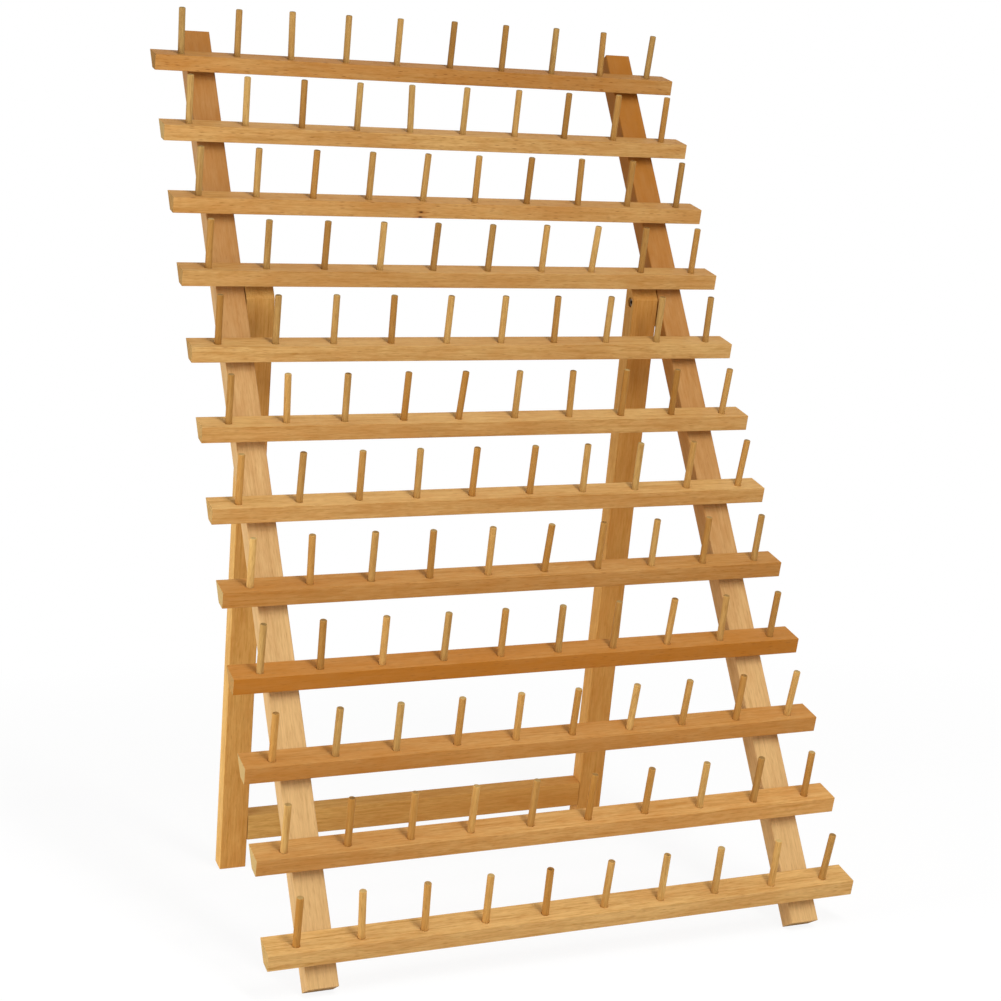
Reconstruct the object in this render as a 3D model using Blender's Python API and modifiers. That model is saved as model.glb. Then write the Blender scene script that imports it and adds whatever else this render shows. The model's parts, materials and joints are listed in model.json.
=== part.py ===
# Folding rack for spools of sewing thread: twelve bevelled rails of ten pegs each cross two
# leaning front legs, and a rear stand turns on a bolt through each front leg.
# X runs along the rails, Y away from the user and Z up. The origin is on the floor, under the
# middle of the rack as it stands open.

import math

import bmesh
import bpy
from mathutils import Matrix, Vector

# Pegs
PEG_DIAMETER = 0.00635
PEG_STANDING_LENGTH = 0.0476
PEG_CHAMFER = 0.0008
PEG_SOCKET_DEPTH = 0.009
PEG_PITCH = 0.05715
PEG_END_MARGIN = 0.0263
PEG_TO_FRONT_EDGE = 0.0105
PEGS_PER_RAIL = 10
PEG_SIDES = 16

# Peg rails, sawn along their back edge to lie flat on the leaning legs
RAIL_WIDTH = 0.028
RAIL_THICKNESS = 0.0154
RAIL_BEVEL_ANGLE = math.radians(44)
RAIL_OVERHANG = 0.0347
RAIL_EDGE_RADIUS = 0.0008
ROW_COUNT = 12
ROW_PITCH = 0.0795
BOTTOM_ROW_HEIGHT = 0.0488
HIGH_SET_ROWS = (4, 5)
HIGH_SET_RISE = 0.0014

# Legs, all from one size of strip
LEG_WIDTH = 0.028
LEG_DEPTH = 0.02
LEG_TOP_MARGIN = 0.0242
LEG_EDGE_RADIUS = 0.001
LEAN_BACK = math.radians(25)

# Rear stand, of the same strip
OPEN_ANGLE = math.radians(39.6)
STOP_ROW = 4
PIVOT_BELOW_STOP_RAIL = 0.0361
PIVOT_TO_FRONT_FACE = 0.0085
REAR_LEG_ABOVE_PIVOT = 0.023
CROSS_RAIL_HEIGHT = 0.028
CROSS_RAIL_TO_FOOT = 0.0315

# Pivot bolts, screwed into the front legs from the inner side of the rear ones
BOLT_SHANK_DIAMETER = 0.006
BOLT_HEAD_DIAMETER = 0.009
BOLT_HEAD_HEIGHT = 0.0045
BOLT_CHAMFER = 0.0006
BOLT_TIP_COVER = 0.008
COUNTERBORE_DIAMETER = 0.0105
COUNTERBORE_DEPTH = 0.0065
TURNED_SIDES = 16

# Clearances
SEAT_GAP = 0.0003
FOLD_GAP = 0.0004
SIDE_GAP = 0.0008
SAW_OVERRUN = 0.005
MERGE_DISTANCE = 0.00001
SMOOTH_ANGLE = math.radians(35)
ROUND_PROFILE = 0.5
QUARTER_TURN = math.radians(90)

rail_length = (PEGS_PER_RAIL - 1) * PEG_PITCH + 2 * PEG_END_MARGIN
peg_setback = RAIL_WIDTH - PEG_TO_FRONT_EDGE
leg_length = BOTTOM_ROW_HEIGHT + (ROW_COUNT - 1) * ROW_PITCH + LEG_TOP_MARGIN
leg_place = rail_length / 2 - RAIL_OVERHANG - LEG_WIDTH / 2
rear_leg_place = leg_place - LEG_WIDTH - SIDE_GAP
rear_lean = OPEN_ANGLE - LEAN_BACK


def row_height(row):
    """Height of a rail's top back edge along the front legs. Row 1 is the top one."""
    rise = HIGH_SET_RISE if row in HIGH_SET_ROWS else 0
    return BOTTOM_ROW_HEIGHT + (ROW_COUNT - row) * ROW_PITCH + rise


pivot_depth = PIVOT_TO_FRONT_FACE + FOLD_GAP
back_of_pivot = LEG_DEPTH - PIVOT_TO_FRONT_FACE
pivot_in_frame = Vector((0, pivot_depth - LEG_DEPTH, row_height(STOP_ROW) - PIVOT_BELOW_STOP_RAIL))
lean_turn = Matrix.Rotation(-LEAN_BACK, 4, "X")
rail_turn = Matrix.Rotation(RAIL_BEVEL_ANGLE, 4, "X")
stand_turn = Matrix.Rotation(rear_lean, 4, "X")
pivot_height = (lean_turn @ pivot_in_frame).z
foot_corner_rise = math.sin(rear_lean) * PIVOT_TO_FRONT_FACE
rear_leg_below_pivot = (pivot_height - foot_corner_rise) / math.cos(rear_lean)


def clear_scene():
    for item in list(bpy.data.objects):
        bpy.data.objects.remove(item, do_unlink=True)


def new_collection(name):
    collection = bpy.data.collections.new(name)
    bpy.context.scene.collection.children.link(collection)
    return collection


def new_material(name, colour, roughness, metallic):
    material = bpy.data.materials.new(name)
    material.use_nodes = True
    shader = material.node_tree.nodes["Principled BSDF"]
    shader.inputs["Base Color"].default_value = (*colour, 1)
    shader.inputs["Roughness"].default_value = roughness
    shader.inputs["Metallic"].default_value = metallic
    return material


def new_axis(name, parent, location, turn):
    """An empty that pieces hang on: a frame's own directions, or a hinge's axis along X."""
    axis = bpy.data.objects.new(name, None)
    bpy.context.scene.collection.objects.link(axis)
    axis.parent = parent
    axis.location = location
    axis.rotation_euler = (turn, 0, 0)
    return axis


def new_piece(name, mesh, collection, material, parent, location, turn=0):
    piece = bpy.data.objects.new(name, mesh)
    collection.objects.link(piece)
    if material:
        mesh.materials.clear()
        mesh.materials.append(material)
    piece.parent = parent
    piece.location = location
    piece.rotation_euler = (turn, 0, 0)
    return piece


def finish_mesh(shape, name):
    bmesh.ops.recalc_face_normals(shape, faces=shape.faces)
    mesh = bpy.data.meshes.new(name)
    shape.to_mesh(mesh)
    shape.free()
    mesh.shade_smooth()
    mesh.set_sharp_from_angle(angle=SMOOTH_ANGLE)
    return mesh


def strip(low, high):
    """A planed strip between two opposite corners."""
    shape = bmesh.new()
    size = Matrix.Diagonal((*(high - low), 1))
    bmesh.ops.create_cube(shape, size=1, matrix=Matrix.Translation((low + high) / 2) @ size)
    return shape


def saw(shape, point, normal):
    """Saws off what lies on the normal's side of a plane and closes the cut."""
    everything = shape.verts[:] + shape.edges[:] + shape.faces[:]
    cut = bmesh.ops.bisect_plane(
        shape, geom=everything, plane_co=point, plane_no=normal, clear_outer=True
    )
    rim = [item for item in cut["geom_cut"] if isinstance(item, bmesh.types.BMEdge)]
    bmesh.ops.contextual_create(shape, geom=rim)


def ease(shape, wanted, radius):
    """Rounds over the edges that the test picks, as a light pass of a sander does."""
    picked = [edge for edge in shape.edges if wanted(edge)]
    bmesh.ops.bevel(
        shape,
        geom=picked,
        offset=radius,
        offset_type="OFFSET",
        segments=2,
        profile=ROUND_PROFILE,
        affect="EDGES",
    )


def runs_along(edge, axis):
    """True for an edge along the strip's length, which is the given axis."""
    step = edge.verts[0].co - edge.verts[1].co
    return abs(step[axis]) > step.length - MERGE_DISTANCE


def turned(name, profile, parent, location, side, collection):
    """A turned piece whose axis lies along X. The profile gives radius and height, top first."""
    mesh = bpy.data.meshes.new(name)
    points = [(radius, 0, height) for radius, height in profile]
    mesh.from_pydata(points, [(index, index + 1) for index in range(len(points) - 1)], [])
    piece = bpy.data.objects.new(name, mesh)
    collection.objects.link(piece)
    piece.parent = parent
    piece.location = location
    piece.rotation_euler = (0, -side * QUARTER_TURN, 0)
    lathe = piece.modifiers.new("turning", "SCREW")
    lathe.steps = TURNED_SIDES
    lathe.render_steps = TURNED_SIDES
    lathe.use_merge_vertices = True
    lathe.merge_threshold = MERGE_DISTANCE
    lathe.use_smooth_shade = True
    return piece


def bore(piece, cutter):
    cutter.hide_render = True
    cutter.display_type = "WIRE"
    drill = piece.modifiers.new("bore", "BOOLEAN")
    drill.operation = "DIFFERENCE"
    drill.solver = "EXACT"
    drill.object = cutter


def rail_bar_mesh():
    """One rail: its top face is level with the axis and its back face lies on the legs."""
    low = Vector((-rail_length / 2, -RAIL_WIDTH, -RAIL_THICKNESS))
    high = Vector((rail_length / 2, SAW_OVERRUN, 0))
    shape = strip(low, high)
    back_normal = Vector((0, math.cos(RAIL_BEVEL_ANGLE), -math.sin(RAIL_BEVEL_ANGLE)))
    saw(shape, Vector((0, 0, 0)), back_normal)

    def at_front(edge):
        depth = max(corner.co.y for corner in edge.verts)
        return runs_along(edge, 0) and depth < -RAIL_WIDTH + MERGE_DISTANCE

    ease(shape, at_front, RAIL_EDGE_RADIUS)
    return finish_mesh(shape, "rail_bar")


def pegs_mesh():
    """The ten pegs of a rail, from their glued ends in the rail to their chamfered tips."""
    shape = bmesh.new()
    length = PEG_SOCKET_DEPTH + PEG_STANDING_LENGTH
    for index in range(PEGS_PER_RAIL):
        across = (index - (PEGS_PER_RAIL - 1) / 2) * PEG_PITCH
        middle = Vector((across, -peg_setback, PEG_STANDING_LENGTH - length / 2))
        bmesh.ops.create_cone(
            shape,
            cap_ends=True,
            segments=PEG_SIDES,
            radius1=PEG_DIAMETER / 2,
            radius2=PEG_DIAMETER / 2,
            depth=length,
            matrix=Matrix.Translation(middle),
        )

    def at_tip(edge):
        return min(corner.co.z for corner in edge.verts) > PEG_STANDING_LENGTH - MERGE_DISTANCE

    rims = [edge for edge in shape.edges if at_tip(edge)]
    bmesh.ops.bevel(
        shape, geom=rims, offset=PEG_CHAMFER, offset_type="OFFSET", segments=1, affect="EDGES"
    )
    return finish_mesh(shape, "pegs")


def glue_pegs(rail, pegs):
    """Joins a rail and its pegs into one solid: they are glued up and never come apart."""
    pegs.hide_render = True
    pegs.display_type = "WIRE"
    glue = rail.modifiers.new("glued_pegs", "BOOLEAN")
    glue.operation = "UNION"
    glue.solver = "EXACT"
    glue.object = pegs


def front_leg_mesh():
    low = Vector((-LEG_WIDTH / 2, -LEG_DEPTH, 0))
    high = Vector((LEG_WIDTH / 2, 0, leg_length))
    shape = strip(low, high)
    ease(shape, lambda edge: runs_along(edge, 2), LEG_EDGE_RADIUS)
    return finish_mesh(shape, "front_leg")


def rear_leg_mesh():
    """A rear leg about its pivot. Its sawn top lies on the back of the stop rail when open."""
    low = Vector((-LEG_WIDTH / 2, -PIVOT_TO_FRONT_FACE, -rear_leg_below_pivot))
    high = Vector((LEG_WIDTH / 2, back_of_pivot, REAR_LEG_ABOVE_PIVOT))
    shape = strip(low, high)
    ease(shape, lambda edge: runs_along(edge, 2), LEG_EDGE_RADIUS)
    stop_normal = Vector((0, -math.cos(OPEN_ANGLE), math.sin(OPEN_ANGLE)))
    saw(shape, stop_normal * pivot_depth, stop_normal)
    return finish_mesh(shape, "rear_leg")


def cross_rail_mesh():
    reach = rear_leg_place - LEG_WIDTH / 2 - SEAT_GAP
    bottom = CROSS_RAIL_TO_FOOT - rear_leg_below_pivot
    low = Vector((-reach, -PIVOT_TO_FRONT_FACE, bottom))
    high = Vector((reach, back_of_pivot, bottom + CROSS_RAIL_HEIGHT))
    shape = strip(low, high)
    ease(shape, lambda edge: runs_along(edge, 0), LEG_EDGE_RADIUS)
    return finish_mesh(shape, "cross_rail")


def build_pivot(side, frame, stand, front_leg, rear_leg, steel, pieces, cutters):
    """Bolt, blind hole and counterbored hole on one side. Heights run towards the rack's middle."""
    name = "left" if side < 0 else "right"
    joint_face = side * (leg_place - LEG_WIDTH / 2)
    at_frame = Vector((joint_face, pivot_in_frame.y, pivot_in_frame.z))
    at_stand = Vector((joint_face, 0, 0))
    inner_face = SIDE_GAP + LEG_WIDTH
    counterbore_floor = inner_face - COUNTERBORE_DEPTH
    seat = counterbore_floor + SEAT_GAP
    tip = BOLT_TIP_COVER - LEG_WIDTH
    shank = BOLT_SHANK_DIAMETER / 2
    hole = shank + SEAT_GAP

    head = BOLT_HEAD_DIAMETER / 2
    head_top = seat + BOLT_HEAD_HEIGHT
    profile = [
        (0, head_top),
        (head - BOLT_CHAMFER, head_top),
        (head, head_top - BOLT_CHAMFER),
        (head, seat),
        (shank, seat),
        (shank, tip + BOLT_CHAMFER),
        (shank - BOLT_CHAMFER, tip),
        (0, tip),
    ]
    bolt = turned("pivot_bolt_" + name, profile, frame, at_frame, side, pieces)
    bolt.data.materials.append(steel)

    blind = [(0, SAW_OVERRUN), (hole, SAW_OVERRUN), (hole, tip - SEAT_GAP), (0, tip - SEAT_GAP)]
    bore(front_leg, turned("blind_hole_" + name, blind, frame, at_frame, side, cutters))

    mouth = COUNTERBORE_DIAMETER / 2
    stepped = [
        (0, inner_face + SAW_OVERRUN),
        (mouth, inner_face + SAW_OVERRUN),
        (mouth, counterbore_floor),
        (hole, counterbore_floor),
        (hole, -SAW_OVERRUN),
        (0, -SAW_OVERRUN),
    ]
    bore(rear_leg, turned("counterbore_" + name, stepped, stand, at_stand, side, cutters))


def middle_of_footprint():
    """Depth halfway between the lowest pegs' tips and the rear feet, from the front feet."""
    rail_place = Vector((0, -LEG_DEPTH - SEAT_GAP, row_height(ROW_COUNT)))
    tip_in_rail = Vector((0, -peg_setback - PEG_DIAMETER / 2, PEG_STANDING_LENGTH - PEG_CHAMFER))
    front = (lean_turn @ (rail_place + rail_turn @ tip_in_rail)).y
    foot_in_stand = Vector((0, back_of_pivot, -rear_leg_below_pivot))
    back = (lean_turn @ pivot_in_frame + stand_turn @ foot_in_stand).y
    return (front + back) / 2


def build():
    clear_scene()
    pieces = new_collection("thread_rack")
    cutters = new_collection("cutters_and_pegs")
    cutters.hide_render = True

    rail_wood = new_material("rail_beech", (0.50, 0.24, 0.085), 0.5, 0)
    leg_wood = new_material("front_leg_beech", (0.46, 0.22, 0.075), 0.5, 0)
    stand_wood = new_material("rear_leg_beech", (0.40, 0.20, 0.06), 0.5, 0)
    cross_wood = new_material("cross_rail_beech", (0.42, 0.19, 0.055), 0.5, 0)
    steel = new_material("bolt_steel", (0.30, 0.29, 0.28), 0.35, 1)

    frame = new_axis("front_frame", None, (0, -middle_of_footprint(), 0), -LEAN_BACK)
    stand = new_axis("stand_fold_axis", frame, pivot_in_frame, OPEN_ANGLE)

    bar = rail_bar_mesh()
    pegs = pegs_mesh()
    for row in range(1, ROW_COUNT + 1):
        place = Vector((0, -LEG_DEPTH - SEAT_GAP, row_height(row)))
        name = "peg_rail_%02d" % row
        rail = new_piece(name, bar, pieces, rail_wood, frame, place, RAIL_BEVEL_ANGLE)
        glue_pegs(rail, new_piece(name + "_pegs", pegs, cutters, None, rail, (0, 0, 0)))

    for side, name in ((-1, "left"), (1, "right")):
        front_leg = new_piece(
            "front_leg_" + name, front_leg_mesh(), pieces, leg_wood, frame, (side * leg_place, 0, 0)
        )
        rear_leg = new_piece(
            "rear_leg_" + name, rear_leg_mesh(), pieces, stand_wood, stand, (side * rear_leg_place, 0, 0)
        )
        build_pivot(side, frame, stand, front_leg, rear_leg, steel, pieces, cutters)

    new_piece("cross_rail", cross_rail_mesh(), pieces, cross_wood, stand, (0, 0, 0))
    bpy.context.view_layer.update()


build()
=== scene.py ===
import json
import math
import random

import bmesh
import bpy
from mathutils import Matrix, Vector


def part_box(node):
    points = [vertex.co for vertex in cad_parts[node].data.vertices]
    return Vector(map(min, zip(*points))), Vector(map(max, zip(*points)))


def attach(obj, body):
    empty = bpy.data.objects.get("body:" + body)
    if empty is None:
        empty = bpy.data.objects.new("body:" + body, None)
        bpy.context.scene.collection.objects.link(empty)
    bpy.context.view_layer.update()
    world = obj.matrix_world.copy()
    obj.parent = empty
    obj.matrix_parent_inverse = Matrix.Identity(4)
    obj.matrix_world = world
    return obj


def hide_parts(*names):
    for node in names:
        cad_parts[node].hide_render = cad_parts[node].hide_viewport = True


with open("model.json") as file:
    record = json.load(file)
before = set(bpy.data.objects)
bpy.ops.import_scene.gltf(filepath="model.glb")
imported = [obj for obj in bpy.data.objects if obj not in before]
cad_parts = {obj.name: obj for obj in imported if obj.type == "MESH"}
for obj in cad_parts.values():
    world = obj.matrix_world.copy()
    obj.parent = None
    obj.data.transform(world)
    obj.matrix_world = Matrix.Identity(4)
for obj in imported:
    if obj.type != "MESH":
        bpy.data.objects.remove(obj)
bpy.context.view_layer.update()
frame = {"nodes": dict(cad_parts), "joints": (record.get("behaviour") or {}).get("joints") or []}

mm = 0.001
quarterTurn = math.pi / 2
print("frame loaded:", len(frame["nodes"]), "nodes")


def hexColour(text):
    channels = [int(text[i:i + 2], 16) / 255 for i in (1, 3, 5)]
    linear = [c / 12.92 if c <= 0.04045 else ((c + 0.055) / 1.055) ** 2.4 for c in channels]
    return (*linear, 1.0)


def addNode(tree, kind, settings=None, links=None):
    # a link comes from the output given, or from a node's first one
    node = tree.nodes.new(kind)
    for name, value in (settings or {}).items():
        if isinstance(name, int) or name in node.inputs:
            node.inputs[name].default_value = value
        else:
            setattr(node, name, value)
    for name, source in (links or {}).items():
        output = source.outputs[0] if isinstance(source, bpy.types.Node) else source
        tree.links.new(output, node.inputs[name])
    return node


def newMaterial(name):
    material = bpy.data.materials.new(name)
    material.use_nodes = True
    tree = material.node_tree
    tree.nodes.clear()
    return material, tree


# Beech, planed and lightly sanded, under one thin coat of satin oil.
# To the eye: warm tan, broken long growth lines, short dark ray flecks, darker sawn ends.
# All sizes are in millimetres, along the grain and across it.
beechLook = {
    "patterns": {                     # size along and across, then how fine and how rough the noise is
        "wobble": (190.0, 17.0, 2.0, 0.5),     # the growth lines wander over this size
        "ringFade": (130.0, 11.0, 1.0, 0.5),   # and fade out and in again over this one
        "streak": (64.0, 1.9, 3.0, 0.6),
        "ripple": (15.0, 1.6, 2.0, 0.55),      # shorter wavy streaks between the long ones
        "tint": (24.0, 7.0, 2.0, 0.5),         # drifts between yellow and orange
        "pore": (11.0, 0.75, 2.0, 0.6),        # real pores are under 0.1 mm; drawn coarser so that they show
        "blotch": (170.0, 38.0, 1.5, 0.5),
    },
    "ringSpacing": 5.2,
    "pithBeside": (74.0, 51.0),       # how far the middle of the tree lay from the strip
    "wobbleDepth": 15.0,
    "ringSharpness": 2.4,
    "ringsShownFrom": (0.42, 0.66),   # of the ringFade noise
    "rippleBend": 0.9,
    "fleck": (10.0, 1.5),             # one fleck a cell; drawn about twice as wide as the real rays
    "fleckScatter": 0.95,
    "fleckReach": 0.36,               # share of the cell that the fleck fills
    "fleckCore": 0.126,               # and share in which it is at its darkest
    "fleckPicked": (0.35, 0.9),       # cells drawn below the first have none, above the second a full one
    "fleckWeight": 0.75,
    "ringWeight": 0.32,
    # what counts as the middle of a pattern, and how much it darkens the wood above it
    "grainWeights": {"streak": (0.34, 1.35), "ripple": (0.5, 1.05), "pore": (0.5, 1.3)},
    "warmDrift": {"blotch": 0.5, "tint": 0.4},
    "stain": 0.5,
    "blotchShade": -0.16,
    "ownFace": (-0.6, -0.85),         # facing that counts as the strip's own face, from none to all
    "endFace": (0.72, 0.9),           # and as its sawn end
    "endFibre": 0.8,
    "endRings": 0.35,
    "furShown": 0.5,
    "paleEnd": "#bda46e",             # a fresh, furry saw cut
    "edgeLift": -0.05,                # eased edges are drawn a little darker
    "poreRoughness": 0.12,
    "endRoughness": 0.2,              # sawn ends are duller
    "bumpDepth": 0.06,
    "bumpStrength": 0.6,
    "bumps": {"lateWood": 0.25, "fleck": -0.5, "pore": 0.6, "sawnEnd": 1.5},
    "sheen": 0.05,                    # bare sanded wood mirrors far less than lacquer
    # a knot's reach along the strip and across it, how deep its colour goes, and the colour
    "knotParts": [((9.0, 4.0, 2.6), 0.55, "#9a5a22"), ((3.0, 3.0, 1.3), 0.95, "#3a1c0a")],
}


def makeBeech(name, wood):
    look = beechLook
    material, tree = newMaterial(name)
    place = addNode(tree, "ShaderNodeTexCoord")
    ownMm = addNode(tree, "ShaderNodeVectorMath", {"operation": "SCALE", "Scale": 1 / mm},
                    {0: place.outputs["Object"]})
    shift = addNode(tree, "ShaderNodeAttribute", {"attribute_name": "grainShift"})
    inMm = addNode(tree, "ShaderNodeVectorMath", {"operation": "MULTIPLY_ADD", 1: (1 / mm,) * 3},
                   {0: place.outputs["Object"], 2: shift.outputs["Vector"]})
    board = {}
    for spot in ("boardToneAndLight", "boardWarmthAndSheen", "faceTone", "faceWarmth", "fleckDepth", "endDepth",
                 "easedEdge"):
        board[spot] = addNode(tree, "ShaderNodeAttribute", {"attribute_name": spot}).outputs["Fac"]
    noise = {}
    for pattern, (along, across, detail, roughness) in look["patterns"].items():
        stretched = addNode(tree, "ShaderNodeVectorMath",
                            {"operation": "MULTIPLY", 1: (1 / along, 1 / across, 1 / across)}, {0: inMm})
        noise[pattern] = addNode(tree, "ShaderNodeTexNoise",
                                 {"Scale": 1.0, "Detail": detail, "Roughness": roughness},
                                 {"Vector": stretched})
    noise["ripple"].inputs["Distortion"].default_value = look["rippleBend"]

    # Growth lines: distance from the pith, bent by a slow wander, here and there faded out.
    wandering = addNode(tree, "ShaderNodeVectorMath",
                        {"operation": "MULTIPLY_ADD", 1: (0.0, *([look["wobbleDepth"]] * 2))},
                        {0: noise["wobble"].outputs["Color"], 2: inMm})
    fromPith = addNode(tree, "ShaderNodeVectorMath",
                       {"operation": "MULTIPLY_ADD", 1: (0.0, 1.0, 1.0), 2: (0.0, *look["pithBeside"])},
                       {0: wandering})
    radius = addNode(tree, "ShaderNodeVectorMath", {"operation": "LENGTH"}, {0: fromPith})
    years = addNode(tree, "ShaderNodeMath",
                    {"operation": "MULTIPLY", 1: 2 * math.pi / look["ringSpacing"]},
                    {0: radius.outputs["Value"]})
    ringWave = addNode(tree, "ShaderNodeMath", {"operation": "SINE"}, {0: years})
    ringTone = addNode(tree, "ShaderNodeMapRange", {1: -1.0, 2: 1.0}, {0: ringWave})
    crispRing = addNode(tree, "ShaderNodeMath", {"operation": "POWER", 1: look["ringSharpness"]},
                        {0: ringTone})
    low, high = look["ringsShownFrom"]
    ringFade = addNode(tree, "ShaderNodeMapRange", {1: low, 2: high}, {0: noise["ringFade"]})
    lateWood = addNode(tree, "ShaderNodeMath", {"operation": "MULTIPLY"}, {0: crispRing, 1: ringFade})

    # Ray flecks: one in the middle of a cell, in some cells none.
    along, across = look["fleck"]
    fleckPlace = addNode(tree, "ShaderNodeVectorMath",
                         {"operation": "MULTIPLY", 1: (1 / along, 1 / across, 1 / across)}, {0: inMm})
    fleckCell = addNode(tree, "ShaderNodeTexVoronoi", {"Scale": 1.0, "Randomness": look["fleckScatter"]},
                        {"Vector": fleckPlace})
    fleckShape = addNode(tree, "ShaderNodeMapRange", {1: look["fleckReach"], 2: look["fleckCore"]},
                         {0: fleckCell.outputs["Distance"]})
    fleckDraw = addNode(tree, "ShaderNodeSeparateColor", {}, {0: fleckCell.outputs["Color"]})
    low, high = look["fleckPicked"]
    fleckPick = addNode(tree, "ShaderNodeMapRange", {1: low, 2: high}, {0: fleckDraw})
    fleckMask = addNode(tree, "ShaderNodeMath", {"operation": "MULTIPLY"}, {0: fleckShape, 1: fleckPick})

    # The planed faces, from the light colour to the dark one.
    grain = addNode(tree, "ShaderNodeMath", {"operation": "MULTIPLY", 1: look["ringWeight"]}, {0: lateWood})
    for pattern, (middle, weight) in look["grainWeights"].items():
        offMiddle = addNode(tree, "ShaderNodeMath", {"operation": "SUBTRACT", 1: middle},
                            {0: noise[pattern]})
        grain = addNode(tree, "ShaderNodeMath", {"operation": "MULTIPLY_ADD", 1: weight},
                        {0: offMiddle, 2: grain})
    colour = addNode(tree, "ShaderNodeMix",
                     {"data_type": "RGBA", 6: hexColour(wood["light"]), 7: hexColour(wood["dark"])},
                     {0: grain}).outputs[2]

    # Warmer wood, strip by strip; along the legs the paler, less warm foot is painted sheen. One face may
    # differ: a rail's front, a leg's side that looks left.
    facing = addNode(tree, "ShaderNodeSeparateXYZ", {}, {0: place.outputs["Normal"]})
    low, high = look["ownFace"]
    ownFace = addNode(tree, "ShaderNodeMapRange", {1: low, 2: high}, {0: facing.outputs[1]})
    warmHere = addNode(tree, "ShaderNodeMath", {"operation": "MULTIPLY_ADD"},
                       {0: ownFace, 1: board["faceWarmth"], 2: board["boardWarmthAndSheen"]})
    for pattern, weight in look["warmDrift"].items():
        offMiddle = addNode(tree, "ShaderNodeMath", {"operation": "SUBTRACT", 1: 0.5},
                            {0: noise[pattern]})
        warmHere = addNode(tree, "ShaderNodeMath", {"operation": "MULTIPLY_ADD", 1: weight},
                           {0: offMiddle, 2: warmHere})
    warm = hexColour(wood["warm"])
    stained = addNode(tree, "ShaderNodeMix",
                      {"data_type": "RGBA", "blend_type": "MULTIPLY", 0: look["stain"], 7: warm},
                      {6: colour}).outputs[2]
    colour = addNode(tree, "ShaderNodeMix", {"data_type": "RGBA"}, {0: warmHere, 6: colour, 7: stained})
    colour = addNode(tree, "ShaderNodeMix", {"data_type": "RGBA", 7: warm},
                     {0: warmHere, 6: colour.outputs[2]}).outputs[2]
    fleckTone = addNode(tree, "ShaderNodeMath", {"operation": "MULTIPLY", 1: look["fleckWeight"]},
                        {0: fleckMask})
    fleckHere = addNode(tree, "ShaderNodeMath", {"operation": "MULTIPLY"},
                        {0: fleckTone, 1: board["fleckDepth"]})
    planed = addNode(tree, "ShaderNodeMix", {"data_type": "RGBA", 7: hexColour(wood["fleck"])},
                     {0: fleckHere, 6: colour}).outputs[2]

    # The sawn ends: open pores and rings, furry and pale or oiled dark.
    endwise = addNode(tree, "ShaderNodeMath", {"operation": "ABSOLUTE"}, {0: facing})
    low, high = look["endFace"]
    endMask = addNode(tree, "ShaderNodeMapRange", {1: low, 2: high}, {0: endwise})
    fibre = addNode(tree, "ShaderNodeTexNoise",
                    {"Scale": 1 / look["endFibre"], "Detail": 3.0, "Roughness": 0.65}, {"Vector": inMm})
    fibreTone = addNode(tree, "ShaderNodeMapRange", {1: 0.25, 2: 0.8}, {0: fibre})
    endTone = addNode(tree, "ShaderNodeMath", {"operation": "MULTIPLY_ADD", 1: look["endRings"]},
                      {0: lateWood, 2: fibreTone})
    darkEnd = addNode(tree, "ShaderNodeMix", {"data_type": "RGBA", 7: hexColour(wood["sawnEnd"])},
                      {0: endTone, 6: planed}).outputs[2]
    furTone = addNode(tree, "ShaderNodeMapRange", {1: 0.3, 2: 0.8, 4: look["furShown"]}, {0: fibre})
    paleEnd = addNode(tree, "ShaderNodeMix", {"data_type": "RGBA", 6: hexColour(look["paleEnd"])},
                      {0: furTone, 7: planed}).outputs[2]
    sawn = addNode(tree, "ShaderNodeMix", {"data_type": "RGBA"},
                   {0: board["endDepth"], 6: paleEnd, 7: darkEnd}).outputs[2]
    colour = addNode(tree, "ShaderNodeMix", {"data_type": "RGBA"},
                     {0: endMask, 6: planed, 7: sawn}).outputs[2]

    # Board by board tone, partly painted light along the legs, the stand and the rail rows, and the eased
    # edges.
    faceLift = addNode(tree, "ShaderNodeMath", {"operation": "SUBTRACT", 1: 1.0}, {0: board["faceTone"]})
    lift = addNode(tree, "ShaderNodeMath", {"operation": "MULTIPLY_ADD", 2: 1.0}, {0: ownFace, 1: faceLift})
    lift = addNode(tree, "ShaderNodeMath", {"operation": "MULTIPLY"}, {0: lift, 1: board["boardToneAndLight"]})
    lift = addNode(tree, "ShaderNodeMath", {"operation": "MULTIPLY_ADD", 1: look["edgeLift"]},
                   {0: board["easedEdge"], 2: lift})
    offMiddle = addNode(tree, "ShaderNodeMath", {"operation": "SUBTRACT", 1: 0.5}, {0: noise["blotch"]})
    lift = addNode(tree, "ShaderNodeMath", {"operation": "MULTIPLY_ADD", 1: look["blotchShade"]},
                   {0: offMiddle, 2: lift})
    brightness = addNode(tree, "ShaderNodeCombineColor", {"mode": "RGB"}, {0: lift, 1: lift, 2: lift})
    colour = addNode(tree, "ShaderNodeMix", {"data_type": "RGBA", "blend_type": "MULTIPLY", 0: 1.0},
                     {6: colour, 7: brightness}).outputs[2]

    # Small dark knots on the strip that has them. They lie far away on the others.
    for spot in ("knotSpot", "knotBeside"):
        knotPlace = addNode(tree, "ShaderNodeAttribute", {"attribute_name": spot})
        fromKnot = addNode(tree, "ShaderNodeVectorMath", {"operation": "SUBTRACT"},
                           {0: ownMm, 1: knotPlace.outputs["Vector"]})
        for reaches, depth, knotColour in look["knotParts"]:
            inReaches = addNode(tree, "ShaderNodeVectorMath",
                                {"operation": "MULTIPLY", 1: tuple(1 / reach for reach in reaches)},
                                {0: fromKnot})
            away = addNode(tree, "ShaderNodeVectorMath", {"operation": "LENGTH"}, {0: inReaches})
            knot = addNode(tree, "ShaderNodeMapRange", {1: 1.0, 2: 0.3, 4: depth},
                           {0: away.outputs["Value"]})
            colour = addNode(tree, "ShaderNodeMix", {"data_type": "RGBA", 7: hexColour(knotColour)},
                             {0: knot, 6: colour}).outputs[2]

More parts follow.
